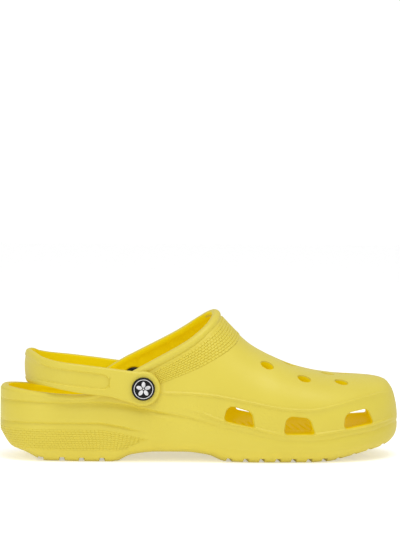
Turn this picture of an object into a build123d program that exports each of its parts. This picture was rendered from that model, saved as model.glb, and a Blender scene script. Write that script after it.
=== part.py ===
"""Ventilated garden clog for the right foot: one moulded foam shell, a swinging heel strap and two snap rivets.

The frame: +X towards the toe, -Y the outer (lateral) side, +Z up, origin on the ground under the middle.
"""

from build123d import *
from collections import namedtuple
import math
import os

# The shell's cross-sections, heel to toe. Each is flat-bottomed below its widest level and domed above it.
# lateral and medial are its half-widths, low and high its bottom and crest, floor the footbed's height,
# and crown the roundness of the dome: 2 is an ellipse, more is squarer.
Station = namedtuple("Station", "x lateral medial low wide high floor crown")
STATIONS = [
    Station(-145.0, 8.0, 8.0, 24.0, 38.0, 72.0, 34.0, 5.0),
    Station(-142.5, 17.0, 17.0, 17.0, 34.0, 75.0, 31.0, 5.0),
    Station(-137.0, 25.5, 25.5, 9.5, 32.0, 79.0, 28.5, 5.0),
    Station(-127.0, 33.0, 33.0, 5.0, 31.0, 85.0, 27.5, 5.0),
    Station(-112.0, 38.0, 38.0, -1.6, 30.0, 91.0, 27.0, 4.5),
    Station(-90.0, 40.5, 40.0, -3.0, 30.0, 98.0, 27.0, 4.0),
    Station(-67.0, 42.5, 42.0, -3.0, 30.0, 108.0, 27.0, 3.0),
    Station(-52.0, 43.8, 43.0, 3.5, 30.0, 115.0, 26.5, 2.3),
    Station(-35.0, 44.8, 43.5, 5.5, 30.0, 120.0, 26.0, 2.0),
    Station(-15.0, 46.2, 44.0, 5.5, 30.0, 120.0, 25.0, 2.0),
    Station(2.0, 48.5, 46.0, 3.5, 30.0, 113.0, 24.0, 2.0),
    Station(15.0, 50.8, 48.5, -1.5, 29.0, 101.5, 23.0, 2.0),
    Station(25.0, 52.3, 50.3, -3.0, 28.5, 91.6, 22.2, 2.05),
    Station(37.0, 53.8, 52.3, -3.0, 28.0, 80.6, 21.4, 2.15),
    Station(52.0, 55.0, 54.3, -3.0, 28.0, 72.6, 20.6, 2.3),
    Station(70.0, 55.0, 55.0, -3.0, 28.0, 65.4, 20.0, 2.4),
    Station(88.0, 53.8, 54.8, -1.5, 28.0, 61.2, 20.0, 2.5),
    Station(103.0, 50.4, 52.6, 1.8, 28.0, 59.4, 20.6, 2.5),
    Station(116.0, 44.8, 47.8, 5.0, 28.0, 58.8, 21.6, 2.5),
    Station(127.0, 37.2, 40.2, 7.6, 28.0, 58.0, 23.0, 2.5),
    Station(135.0, 28.8, 31.5, 10.4, 28.0, 56.2, 24.3, 2.4),
    Station(140.5, 19.6, 22.5, 14.2, 28.0, 50.5, 25.3, 2.2),
    Station(143.6, 11.0, 13.8, 18.2, 27.7, 42.0, 25.7, 2.0),
    Station(145.0, 3.0, 5.0, 21.5, 27.5, 35.5, 26.0, 2.0),
]
SECTION_POINTS = 24
SOLE_CORNER = 5.0  # squareness of the lower half of each section
FOOTBED_CORNER = 3.2
WALL_SHARE = 0.905  # the foot cavity's width over the outer width
END_WALL = 5.5
ROOF = 4.8
ROUNDED_ROOF = 5.0  # least height of the cavity above its widest level, at its two ends

# The mouth: the line where the walls stop, seen from the side, at each side of the foot.
MOUTH_HALF_SPAN = 45.0
MOUTH_LATERAL = [
    (-160.0, 54.6), (-143.0, 54.0), (-130.0, 52.0), (-117.0, 50.0), (-104.0, 48.6), (-90.0, 48.0),
    (-79.0, 49.6), (-70.0, 54.2), (-62.0, 59.4), (-51.0, 65.0), (-31.0, 76.0), (-20.5, 82.0),
    (-10.0, 89.2), (0.0, 97.6), (6.0, 103.2), (14.0, 111.5),
]  # fmt: skip
MEDIAL_RISE = 4.6  # how much higher the mouth is on the inner side, forward of the rivets
RISE_START = -95.0
RISE_END = -50.0
MOUTH_CEILING = 135.0

# Ventilation.
VENT_RADIUS = 4.8
VENTS = [
    (44.6, -33.0), (49.0, 3.5), (49.0, 36.0), (63.5, -10.5), (62.5, 19.5), (71.0, -35.5), (77.0, 4.0),
    (76.5, 38.0), (92.0, -10.0), (91.0, 20.0), (98.9, -30.0), (105.5, 4.5), (104.0, 33.5),
]  # fmt: skip
LATERAL_PORTS = [
    [(12.2, 29.2), (15.6, 40.7), (31.9, 36.3), (33.8, 25.3)],
    [(54.6, 20.4), (57.4, 33.4), (73.0, 31.9), (77.0, 20.5)],
    [(98.0, 23.2), (99.8, 34.4), (116.2, 37.7), (121.0, 27.0)],
]
MEDIAL_SHIFTS = [(19.5, -2.0), (15.5, 4.5), (9.5, -0.3)]
PORT_CORNER = 4.0

# The tread: grooves across the sole, between the lugs.
GROOVE_DEPTH = 2.8
GROOVE_WIDTH = 3.4
GROOVES = [-116.5, -101.6, -87.8, -73.4, 16.6, 28.2, 39.6, 50.9, 62.2, 73.5, 84.7, 95.8, 107.5]

# The strap's pivot and its two rivets.
PIVOT_X = -45.5
PIVOT_Z = 52.8
SEAT_HALF = 44.2  # from the middle plane to the flat seat on each side of the shell
SEAT_WALL = 5.4
SEAT_BOSS = 10.5
SEAT_RADIUS = 13.4
FREE = 0.06  # clearance between faces that turn on each other
SHANK_RADIUS = 3.9
HOLE_RADIUS = 3.97
HEAD_RADIUS = 8.5
HEAD_THICK = 2.6
BADGE_RADIUS = 7.1
BADGE_DEPTH = 0.9
CAP_RADIUS = 8.0
CAP_THICK = 2.6
SHANK_IN_CAP = 1.7

# The heel strap: a U in plan, cut to its outline as seen from the side.
STRAP_THICK = 4.0
STRAP_BACK = -128.4
STRAP_BEND = -92.0  # where the straight arms end and the bend round the heel starts
TAB_RADIUS = 12.3
STRAP_TOP = [(-70.0, 66.6), (-90.0, 68.6), (-108.0, 70.6), (-118.0, 73.4), (-124.0, 76.8), (-131.0, 78.4)]
STRAP_BOTTOM = [(-131.0, 53.6), (-118.0, 53.2), (-101.0, 50.9), (-86.0, 48.9), (-69.0, 46.9)]

STRAP_INNER = SEAT_HALF + FREE
STRAP_OUTER = STRAP_INNER + STRAP_THICK
HEAD_INNER = STRAP_OUTER + FREE
SIDES = {"lateral": -1, "medial": 1}


def section(x, lateral, medial, low, wide, high, base, crown):
    """A closed section across the clog at x, for a loft."""
    centre = (medial - lateral) / 2
    half = (medial + lateral) / 2
    points = []
    for step in range(SECTION_POINTS):
        angle = 2 * math.pi * step / SECTION_POINTS - math.pi / 2
        across, up = math.cos(angle), math.sin(angle)
        power = crown if up > 0 else base
        reach = high - wide if up > 0 else wide - low
        y = centre + half * math.copysign(abs(across) ** (2 / power), across)
        z = wide + reach * math.copysign(abs(up) ** (2 / power), up)
        points.append((y, z))
    with BuildSketch(Plane(origin=(x, 0, 0), x_dir=(0, 1, 0), z_dir=(1, 0, 0))) as drawn:
        with BuildLine():
            Spline(points, periodic=True)
        make_face()
    return drawn


def mouth_face(y, rise):
    """The opening above the mouth line, as a face in the plane at y."""
    line = []
    for x, z in MOUTH_LATERAL:
        share = min(1.0, max(0.0, (x - RISE_START) / (RISE_END - RISE_START)))
        line.append((x, z + rise * share))
    with BuildSketch(Plane(origin=(0, y, 0), x_dir=(1, 0, 0), z_dir=(0, -1, 0))) as drawn:
        with BuildLine():
            Spline(line)
            Polyline(line[-1], (line[-1][0], MOUTH_CEILING), (line[0][0], MOUTH_CEILING), line[0])
        make_face()
    return drawn


def side_plane(side, distance):
    """A plane facing outwards at that distance from the middle plane, centred on the strap's pivot."""
    return Plane(origin=(PIVOT_X, side * distance, PIVOT_Z), x_dir=(1, 0, 0), z_dir=(0, side, 0))


def height_at(x, y):
    """Height of the shell's outer skin over (x, y)."""
    before = max((s for s in STATIONS if s.x <= x), key=lambda s: s.x)
    after = min((s for s in STATIONS if s.x > x), key=lambda s: s.x)
    share = (x - before.x) / (after.x - before.x)
    here = Station(*[a + (b - a) * share for a, b in zip(before, after)])
    centre = (here.medial - here.lateral) / 2
    half = (here.medial + here.lateral) / 2
    drop = 1 - abs((y - centre) / half) ** here.crown
    return here.wide + (here.high - here.wide) * drop ** (1 / here.crown)


def vent_plane(x, y):
    """The plane on the vamp's skin at (x, y), facing out along its normal."""
    step = 0.5
    slope_x = (height_at(x + step, y) - height_at(x - step, y)) / (2 * step)
    slope_y = (height_at(x, y + step) - height_at(x, y - step)) / (2 * step)
    return Plane(origin=(x, y, height_at(x, y)), z_dir=(-slope_x, -slope_y, 1))


# Outer form, from the sections.
with BuildPart() as outer:
    for s in STATIONS:
        add(section(s.x, s.lateral, s.medial, s.low, s.wide, s.high, SOLE_CORNER, s.crown).sketch)
    loft()

# The foot's space inside it, kept clear of the toe and the heel by the end wall.
inner_reach = (STATIONS[-1].x - END_WALL) / STATIONS[-1].x
with BuildPart() as cavity:
    for s in STATIONS:
        roof = max(s.high - ROOF, s.wide + ROUNDED_ROOF)
        add(
            section(
                s.x * inner_reach,
                s.lateral * WALL_SHARE,
                s.medial * WALL_SHARE,
                s.floor,
                s.wide + 1.5,
                roof,
                FOOTBED_CORNER,
                s.crown,
            ).sketch
        )
    loft()

with BuildPart() as mouth:
    add(mouth_face(-MOUTH_HALF_SPAN * 1.5, -MEDIAL_RISE * 0.25).sketch)
    add(mouth_face(MOUTH_HALF_SPAN * 1.5, MEDIAL_RISE * 1.25).sketch)
    loft(ruled=True)

# The shell: upper, footbed and outsole moulded in one.
with BuildPart() as clog_shell:
    add(outer.part)
    # A flat seat for the strap on each side, filled out where the wall is narrower.
    for side in SIDES.values():
        with BuildSketch(side_plane(side, SEAT_HALF)):
            Circle(SEAT_BOSS)
        extrude(amount=-SEAT_WALL)
    add(cavity.part, mode=Mode.SUBTRACT)
    add(mouth.part, mode=Mode.SUBTRACT)
    # The sole stands flat on the ground.
    with Locations((0, 0, 0)):
        Box(400, 200, 20, align=(Align.CENTER, Align.CENTER, Align.MAX), mode=Mode.SUBTRACT)
    with Locations([(x, 0, 0) for x in GROOVES]):
        Box(GROOVE_WIDTH, 140, 2 * GROOVE_DEPTH, mode=Mode.SUBTRACT)
    # Side ports.
    for port, (dx, dz) in zip(LATERAL_PORTS, MEDIAL_SHIFTS):
        for side in SIDES.values():
            shift = (dx, dz) if side > 0 else (0, 0)
            with BuildSketch(Plane(origin=(0, side * 25, 0), x_dir=(1, 0, 0), z_dir=(0, -1, 0))) as hole:
                with BuildLine():
                    Polyline([(x + shift[0], z + shift[1]) for x, z in port], close=True)
                make_face()
                fillet(hole.vertices(), PORT_CORNER)
            extrude(amount=-40 * side, mode=Mode.SUBTRACT)
    # Round vents through the vamp.
    for x, y in VENTS:
        with Locations(vent_plane(x, y)):
            Cylinder(VENT_RADIUS, 24, mode=Mode.SUBTRACT)
    # Strap seats, seats for the inner caps, and the rivet holes.
    for side in SIDES.values():
        with BuildSketch(side_plane(side, SEAT_HALF)):
            Circle(SEAT_RADIUS)
        extrude(amount=12, mode=Mode.SUBTRACT)
        with BuildSketch(side_plane(side, SEAT_HALF - SEAT_WALL)):
            Circle(CAP_RADIUS + 1.0)
        extrude(amount=-8, mode=Mode.SUBTRACT)
        with BuildSketch(side_plane(side, SEAT_HALF - 2 * SEAT_WALL)):
            Circle(HOLE_RADIUS)
        extrude(amount=3 * SEAT_WALL, mode=Mode.SUBTRACT)
clog_shell.part.label = "clog_shell"

# The strap: a U-shaped band, then cut to its side outline.
with BuildPart() as heel_strap:
    with BuildSketch(Plane.XY.offset(30)):
        for reach, mode in ((0, Mode.ADD), (STRAP_THICK, Mode.SUBTRACT)):
            half = STRAP_OUTER - reach
            with BuildLine():
                rounded = EllipticalCenterArc(
                    (STRAP_BEND, 0), STRAP_BEND - STRAP_BACK - reach, half, start_angle=90, arc_size=180
                )
                Polyline(rounded @ 1, (0, -half), (0, half), rounded @ 0)
            make_face(mode=mode)
    extrude(amount=60)
    with BuildSketch(Plane(origin=(0, 70, 0), x_dir=(1, 0, 0), z_dir=(0, -1, 0))) as outline:
        with BuildLine():
            tab = CenterArc((PIVOT_X, PIVOT_Z), TAB_RADIUS, -112, 216)
            lower = Spline(STRAP_BOTTOM + [tab @ 0])
            upper = Spline([tab @ 1] + STRAP_TOP)
            Line(upper @ 1, lower @ 0)
        make_face()
    extrude(amount=140, mode=Mode.INTERSECT)
    with BuildSketch(Plane(origin=(PIVOT_X, 70, PIVOT_Z), x_dir=(1, 0, 0), z_dir=(0, -1, 0))):
        Circle(HOLE_RADIUS)
    extrude(amount=140, mode=Mode.SUBTRACT)
heel_strap.part.label = "heel_strap"


def rivet_head(side):
    """The outer half of a rivet: a round head with a recess for its badge, and the shank the strap turns on."""
    with BuildPart() as head:
        with BuildSketch(side_plane(side, HEAD_INNER)):
            Circle(HEAD_RADIUS)
        extrude(amount=HEAD_THICK)
        fillet(head.faces().sort_by(Axis.Y)[-1 if side > 0 else 0].edges(), 1.2)
        with BuildSketch(side_plane(side, HEAD_INNER + HEAD_THICK)):
            Circle(BADGE_RADIUS)
        extrude(amount=-BADGE_DEPTH, mode=Mode.SUBTRACT)
        with BuildSketch(side_plane(side, HEAD_INNER)):
            Circle(SHANK_RADIUS)
        extrude(amount=-(HEAD_INNER - SEAT_HALF + SEAT_WALL + SHANK_IN_CAP))
    return head.part


def rivet_badge(side):
    """The printed disc that fills the head's recess."""
    with BuildPart() as badge:
        with BuildSketch(side_plane(side, HEAD_INNER + HEAD_THICK - BADGE_DEPTH)):
            Circle(BADGE_RADIUS)
        extrude(amount=BADGE_DEPTH - 0.2)
    return badge.part


def rivet_cap(side):
    """The inner half of a rivet: a flat round cap whose socket snaps over the shank's end."""
    with BuildPart() as cap:
        with BuildSketch(side_plane(side, SEAT_HALF - SEAT_WALL - FREE)):
            Circle(CAP_RADIUS)
        extrude(amount=-CAP_THICK)
        fillet(cap.faces().sort_by(Axis.Y)[0 if side > 0 else -1].edges(), 1.0)
        with BuildSketch(side_plane(side, SEAT_HALF - SEAT_WALL)):
            Circle(SHANK_RADIUS)
        extrude(amount=-SHANK_IN_CAP, mode=Mode.SUBTRACT)
    return cap.part


os.makedirs("parts", exist_ok=True)
export_step(clog_shell.part, "parts/clog_shell.step")
export_step(heel_strap.part, "parts/heel_strap.step")
for name, side in SIDES.items():
    for piece, make in (("rivet_head", rivet_head), ("rivet_badge", rivet_badge), ("rivet_cap", rivet_cap)):
        made = make(side)
        made.label = f"{name}_{piece}"
        export_step(made, f"parts/{made.label}.step")
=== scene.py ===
import math

import bmesh
import bpy
from mathutils import Matrix, Vector
from mathutils.bvhtree import BVHTree


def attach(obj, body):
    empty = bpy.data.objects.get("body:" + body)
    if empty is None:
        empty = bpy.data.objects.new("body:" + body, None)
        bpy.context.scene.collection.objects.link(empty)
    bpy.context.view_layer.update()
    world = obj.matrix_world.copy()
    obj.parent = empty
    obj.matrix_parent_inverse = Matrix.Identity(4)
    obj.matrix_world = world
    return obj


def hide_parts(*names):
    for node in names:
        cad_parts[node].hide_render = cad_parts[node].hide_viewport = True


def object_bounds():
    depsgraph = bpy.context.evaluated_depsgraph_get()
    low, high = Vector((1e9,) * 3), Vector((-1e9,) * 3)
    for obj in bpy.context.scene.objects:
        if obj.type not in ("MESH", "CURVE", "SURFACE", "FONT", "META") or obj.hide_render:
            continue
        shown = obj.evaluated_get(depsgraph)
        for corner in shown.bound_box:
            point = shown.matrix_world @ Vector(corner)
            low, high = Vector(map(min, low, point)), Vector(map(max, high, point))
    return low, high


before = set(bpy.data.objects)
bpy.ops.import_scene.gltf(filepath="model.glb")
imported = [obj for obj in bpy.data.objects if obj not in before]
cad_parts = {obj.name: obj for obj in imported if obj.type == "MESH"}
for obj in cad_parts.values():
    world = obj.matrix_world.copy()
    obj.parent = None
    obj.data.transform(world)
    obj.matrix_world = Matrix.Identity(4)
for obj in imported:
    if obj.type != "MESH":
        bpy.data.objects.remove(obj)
cad_low, cad_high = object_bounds()

# The moulded shell: upper, footbed and outsole injected in one shot of closed-cell foam, in a steel mould
# whose cut lines give the beads, grooves and tread. All lengths in this file are in millimetres until a
# mesh is placed. The sections below run heel to toe; each is flat-bottomed and domed.
MM = 0.001
LATERAL, MEDIAL = -1, 1
# x, lateral half-width, medial half-width, bottom, widest level, crest, footbed, roundness of the dome
SECTIONS = [
    (-145, 0, 0, 24, 38, 72, 34, 5),
    (-144.4, 9.5, 9.5, 21, 37, 72.5, 33, 5),
    (-142.5, 17, 17, 17, 34, 75, 31, 5),
    (-137, 25.5, 25.5, 9.5, 32, 79, 28.5, 5),
    (-127, 33, 33, 5, 31, 85, 27.5, 5),
    (-112, 38, 38, -1.6, 30, 91, 27, 4.5),
    (-90, 40.5, 40, -3, 30, 98, 27, 4),
    (-67, 42.5, 42, -3, 30, 108, 27, 3),
    (-52, 43.8, 43, 3.5, 30, 115, 26.5, 2.3),
    (-35, 44.8, 43.5, 5.5, 30, 120, 26, 2),
    (-15, 46.2, 44, 5.5, 30, 120, 25, 2),
    (2, 48.5, 46, 3.5, 30, 113, 24, 2),
    (15, 50.8, 48.5, -1.5, 29, 101, 23, 2),
    (25, 52.3, 50.3, -3, 28.5, 90.8, 22.2, 2.05),
    (37, 53.8, 52.3, -3, 28, 80.6, 21.4, 2.15),
    (52, 55, 54.3, -3, 28, 72.6, 20.6, 2.3),
    (70, 55, 55, -3, 28, 65.4, 20, 2.4),
    (88, 53.8, 54.8, -1.5, 28, 61.2, 20, 2.5),
    (103, 50.4, 52.6, 1.8, 28, 59.4, 20.6, 2.5),
    (116, 44.8, 47.8, 5, 28, 58.8, 21.6, 2.5),
    (127, 37.2, 40.2, 7.6, 28, 58, 23, 2.5),
    (135, 28.8, 31.5, 10.4, 28, 56.2, 24.3, 2.4),
    (140.5, 19.6, 22.5, 14.2, 28, 50.5, 25.3, 2.2),
    (143.6, 11, 13.8, 18.2, 27.7, 42, 25.7, 2),
    (144.7, 5, 7.4, 21, 27.5, 37, 25.9, 2),
    (145, 0, 2.6, 22.5, 27.5, 34, 26, 2),
]
SOLE_CORNER = 5.0  # squareness of the lower half of each section
FOOTBED_CORNER = 3.2
WALL_SHARE = 0.905  # the foot space's width over the outer width
INNER_REACH = 139.5 / 145  # and its length over the outer length
ROOF = 4.8
ROUNDED_ROOF = 5.0  # the roof stays at least this far above the section's widest level
FOOTBED_RISE = 1.5  # its widest level lies this much above the outer one


def flow(points, x):
    """The values at x of a smooth curve through (x, values...) points, level past its ends."""
    if x <= points[0][0]:
        return points[0][1:]
    if x >= points[-1][0]:
        return points[-1][1:]
    k = max(i for i in range(len(points) - 1) if points[i][0] <= x)
    before, after = points[k], points[k + 1]
    width = after[0] - before[0]
    t = (x - before[0]) / width
    found = []
    for value in range(1, len(before)):
        rise = (after[value] - before[value]) / width
        slopes = []
        for near, far in ((k, k - 1), (k + 1, k + 2)):
            slope = rise
            if 0 <= far < len(points):
                other = (points[far][value] - points[near][value]) / (points[far][0] - points[near][0])
                slope = 0.0 if other * rise <= 0 else 2 * other * rise / (other + rise)
            slopes.append(slope * width)
        found.append(
            (2 * t**3 - 3 * t**2 + 1) * before[value]
            + (t**3 - 2 * t**2 + t) * slopes[0]
            + (3 * t**2 - 2 * t**3) * after[value]
            + (t**3 - t**2) * slopes[1]
        )
    return found


class Section:
    """The shell's cross-section at x: outer skin, or the foot's space inside it."""

    def __init__(self, x, inside=False):
        values = flow(SECTIONS, x / INNER_REACH if inside else x)
        lateral, medial, self.low, self.wide, self.high, floor, self.crown = values
        self.corner = SOLE_CORNER
        share = 1.0
        if inside:
            self.high = max(self.high - ROOF, self.wide + ROUNDED_ROOF)
            self.low = floor
            self.wide += FOOTBED_RISE
            self.corner = FOOTBED_CORNER
            share = WALL_SHARE
        self.centre = (medial - lateral) / 2 * share
        self.half = max((medial + lateral) / 2 * share, 0.02)

    def reach(self, z):
        """Half the section's width at height z."""
        if z > self.wide:
            share, power = (z - self.wide) / (self.high - self.wide), self.crown
        else:
            share, power = (self.wide - z) / (self.wide - self.low), self.corner
        return self.half * max(0.0, 1 - min(1.0, share) ** power) ** (1 / power)

    def edge(self, z, side):
        """How far to a side the skin lies at height z."""
        return self.centre + side * self.reach(z)

    def holds(self, y, z):
        """Whether a point of this section lies inside it."""
        return self.low < z < self.high and abs(y - self.centre) < self.reach(z)


# Lines that the mould cuts along each side, as heights over x on the outer side of the foot.
HEEL_GROOVE = [
    (-145, 27.9), (-119, 27.4), (-78, 27.4), (-64.5, 25.7), (-51, 22.9), (-41, 20.8), (-20, 16.5), (0, 13),
    (25, 9.8), (50, 8.6), (75, 8.6), (95, 10), (115, 13.5), (130, 17.5), (140, 21.5), (145, 23.5),
]
SOLE_GROOVE = [
    (-145, 43.2), (-128, 42.4), (-112, 41.8), (-95, 41.8), (-78, 42.2), (-61, 41), (-44, 37.9), (-34, 35.6),
    (-12.6, 31.8), (0, 28.3), (11, 25.3), (27, 21.9), (43, 18.4), (57, 16.2), (73, 15.8), (84, 16.6),
    (101, 19.3), (120, 21.9), (137, 26), (145, 27),
]
PORT_LEDGE = [
    (-145, 46), (-100, 45), (-60, 44.5), (-30, 41.5), (-5, 36.1), (12.5, 29.9), (32, 26), (41, 23.5),
    (56, 21), (76, 21), (86, 22.2), (101, 24.2), (120, 27), (135, 29.6), (145, 30.2),
]
UPPER_BEAD = [
    (-145, 50), (-60, 49.6), (-33, 49.8), (-16, 49.6), (2, 48.3), (19.5, 45.6), (36, 42.4), (43.5, 40.8),
    (57, 38.8), (71, 38.1), (84, 39.7), (95, 42.1), (105, 44.1), (116, 45.9), (128, 47.8), (138, 47),
    (145, 33),
]
# How far each line's relief stands out over x: heel to toe.
HEEL_GROOVE_DEPTH = [
    (-145, -1.1), (-90, -1.2), (-62, -1.6), (-34, 0), (0, 0), (25, 0.25), (110, 0.25), (135, 0),
]
SOLE_GROOVE_DEPTH = [
    (-145, -1.1), (-90, -1.2), (-55, -1.8), (-35, -1.6), (-20, -0.9), (20, -0.6), (125, -0.7), (145, -0.3),
]
PORT_LEDGE_DEPTH = [(-145, 0), (-22, 0), (4, 0.9), (128, 0.9), (142, 0.1), (145, 0)]
UPPER_BEAD_DEPTH = [(-145, 0), (-36, 0), (-28, 1.05), (124, 1.05), (137, 0)]
# Across a line: height over its middle, and share of its relief.
GROOVE_ROWS = [(-3.8, 0), (-2.3, 0.4), (-0.9, 0.85), (-0.1, 1), (0.5, 0.4), (1.1, 0)]
BEAD_ROWS = [(-1.5, 0), (-0.7, 0.75), (-0.1, 1), (0.25, 0.9), (1.05, 0)]
# line, relief, profile, plain rows below it
LINES = [
    (HEEL_GROOVE, HEEL_GROOVE_DEPTH, GROOVE_ROWS, 5),
    (SOLE_GROOVE, SOLE_GROOVE_DEPTH, GROOVE_ROWS, 4),
    (PORT_LEDGE, PORT_LEDGE_DEPTH, BEAD_ROWS, 2),
    (UPPER_BEAD, UPPER_BEAD_DEPTH, BEAD_ROWS, 3),
]
# Rows on the sole as shares of the half-width, and rows up the lower corner as shares of its height.
FLAT_SHARES = [0.0, 0.1, 0.2, 0.29, 0.31, 0.37, 0.39, 0.46]
CORNER_SHARES = [0.012, 0.03, 0.06, 0.12, 0.22, 0.36, 0.55, 0.78]
DOME_ROWS = 16
DOME_SHARE = 0.82  # no line climbs past this share of the dome
# The inner side's lines and ports lie further forward.
FORWARD = [(-60, 0.0), (-30, 4.0), (42, 19.5), (80, 15.5), (116.5, 9.5), (145, 0.0)]
# Across the tread: grooves between the lugs.
TREAD_GROOVES = [
    -116.5, -101.6, -87.8, -73.4, 16.6, 28.2, 39.6, 50.9, 62.2, 73.5, 84.7, 95.8, 107.5, 119.0, 130.5,
]
TREAD_DEPTH = 2.8
TREAD_HALF = 1.5  # half a groove's width at its bottom
TREAD_FLARE = 0.6


def side_rows(section, x, side):
    """(y, z, relief) up one side of a section, from the middle of the sole to the top of the dome."""
    along = x - (flow(FORWARD, x)[0] if side == MEDIAL else 0)
    rows = []
    for share in FLAT_SHARES:
        drop = (1 - share**section.corner) ** (1 / section.corner)
        y = section.centre + side * share * section.half
        rows.append((y, section.wide - drop * (section.wide - section.low), 0))
    heights = []
    dome = section.high - section.wide
    top_limit = section.wide + DOME_SHARE * dome
    below = section.low
    for line, depths, profile, fill in LINES:
        middle = min(flow(line, along)[0], top_limit - 2.0)
        depth = flow(depths, along)[0]
        first = max(middle + profile[0][0], below + 0.3)
        if line is HEEL_GROOVE:
            heights += [(below + share * (first - below), 0) for share in CORNER_SHARES]
        else:
            heights += [(below + (k + 1) * (first - below) / (fill + 1), 0) for k in range(fill)]
        heights += [(middle + offset, depth * amount) for offset, amount in profile]
        below = middle + profile[-1][0]
    level = section.low + 0.01
    for z, relief in heights:
        level = max(level + 0.02, z)
        rows.append((section.edge(level, side), level, relief))
    start = math.asin(min(1.0, max(0.0, (level - section.wide) / dome) ** (section.crown / 2)))
    for k in range(1, DOME_ROWS + 1):
        angle = start + (math.pi / 2 - start) * k / DOME_ROWS
        z = section.wide + dome * math.sin(angle) ** (2 / section.crown)
        y = section.centre + side * section.half * max(0.0, math.cos(angle)) ** (2 / section.crown)
        rows.append((y, z, 0))
    return rows


def wrapped_sheet(columns, rows, place):
    """A grid whose corner (i, j) is put at place(i, j), closed into a tube round its rows."""
    made = bmesh.new()
    grid = bmesh.ops.create_grid(made, x_segments=columns - 1, y_segments=rows, size=0.5)
    for vert in grid["verts"]:
        i = round((vert.co.x + 0.5) * (columns - 1))
        j = round((vert.co.y + 0.5) * rows) % rows
        vert.co = place(i, j)
    bmesh.ops.remove_doubles(made, verts=made.verts, dist=1e-4)
    bmesh.ops.holes_fill(made, edges=made.edges, sides=0)
    bmesh.ops.recalc_face_normals(made, faces=made.faces)
    return made


def pushed(made, face, inner):
    """Extrudes a face and gives the new one. An inner face, between two stretches, doesn't stay."""
    grown = bmesh.ops.extrude_face_region(made, geom=[face])
    if inner:
        bmesh.ops.delete(made, geom=[face], context="FACES_ONLY")
    return next(g for g in grown["geom"] if isinstance(g, bmesh.types.BMFace))


def solid(made, name):
    """An object in metres from a mesh in millimetres."""
    bmesh.ops.scale(made, vec=(MM, MM, MM), verts=made.verts)
    data = bpy.data.meshes.new(name)
    made.to_mesh(data)
    made.free()
    thing = bpy.data.objects.new(name, data)
    bpy.context.scene.collection.objects.link(thing)
    return thing


def combine(piece, made, operation):
    """Cuts a mesh out of a piece, or welds it on."""
    tool = solid(made, "tool")
    modifier = piece.modifiers.new("combine", "BOOLEAN")
    modifier.operation = operation
    modifier.solver = "MANIFOLD"
    modifier.object = tool
    graph = bpy.context.evaluated_depsgraph_get()
    data = bpy.data.meshes.new_from_object(piece.evaluated_get(graph))
    piece.modifiers.clear()
    piece.data = data
    tool_data = tool.data
    bpy.data.objects.remove(tool)
    bpy.data.meshes.remove(tool_data)


# Stations along the shell: closer at the rounded ends, and at both walls of each tread groove.
STATION_STEP = 1.55
stations = [-145.0, -144.93, -144.75, -144.4, -143.9, -143.2, -142.3, -141.2, -139.8]
x = -138.4
while x < 139.0:
    near = min(TREAD_GROOVES, key=lambda groove: abs(groove - x))
    if abs(near - x) > TREAD_HALF + TREAD_FLARE + 0.5:
        stations.append(x)
    x += STATION_STEP
for groove in TREAD_GROOVES:
    wall = TREAD_HALF + TREAD_FLARE
    stations += [groove - wall, groove - TREAD_HALF, groove, groove + TREAD_HALF, groove + wall]
stations += [139.4, 140.6, 141.6, 142.4, 143.1, 143.7, 144.2, 144.55, 144.8, 144.93, 145.0]
stations.sort()

rings = []
for x in stations:
    section = Section(x)
    lateral = side_rows(section, x, LATERAL)
    medial = side_rows(section, x, MEDIAL)
    ring = lateral + medial[-2:0:-1]
    grooved = any(abs(groove - x) < TREAD_HALF + 0.1 for groove in TREAD_GROOVES)
    sole = max(section.low, 0.0) + (TREAD_DEPTH if grooved else 0.0)
    ring = [(y, max(z, sole), relief) for y, z, relief in ring]
    rings.append(ring)
row_count = len(rings[0])

outer = wrapped_sheet(len(stations), row_count, lambda i, j: (stations[i], *rings[i][j][:2]))
outer.normal_update()
skin = BVHTree.FromBMesh(outer)
reliefs = {}
for i, ring in enumerate(rings):
    for y, z, relief in ring:
        if relief and abs(stations[i]) < 144.9:
            reliefs[(round(stations[i], 2), round(y, 2), round(z, 2))] = relief
for vert in outer.verts:
    key = (round(vert.co.x, 2), round(vert.co.y, 2), round(vert.co.z, 2))
    if key in reliefs:
        vert.co += vert.normal * reliefs[key]
shell = solid(outer, "clog_shell_foam")

# A flat seat for the strap on each side, with a boss behind it, a seat for the rivet's cap and its hole.
PIVOT_X, PIVOT_Z = -45.5, 52.8
SEAT_HALF = 44.2  # from the middle plane to the seat
SEAT_WALL = 5.4
BOSS_RADIUS = 10.5
SEAT_RADIUS = 13.4
SEAT_CUT = 12
CAP_SEAT_RADIUS = 9.0
CAP_SEAT_CUT = 8
HOLE_RADIUS = 3.97


def crosswise_bars(radius, near, far):
    """A round bar on each side along the strap's pivot, between two distances from the middle plane."""
    made = bmesh.new()
    for side in (LATERAL, MEDIAL):
        place = Matrix.Translation((PIVOT_X, side * (near + far) / 2, PIVOT_Z))
        place = place @ Matrix.Rotation(math.pi / 2, 4, "X")
        bmesh.ops.create_cone(
            made, cap_ends=True, segments=72, radius1=radius, radius2=radius, depth=far - near, matrix=place
        )
    return made


combine(shell, crosswise_bars(BOSS_RADIUS, SEAT_HALF - SEAT_WALL, SEAT_HALF), "UNION")

# The foot's space.
INNER_COLUMNS = 110
INNER_ROWS = 72
INNER_END = 139.4
CROWDING, EVENNESS = 0.55, 0.45


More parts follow.
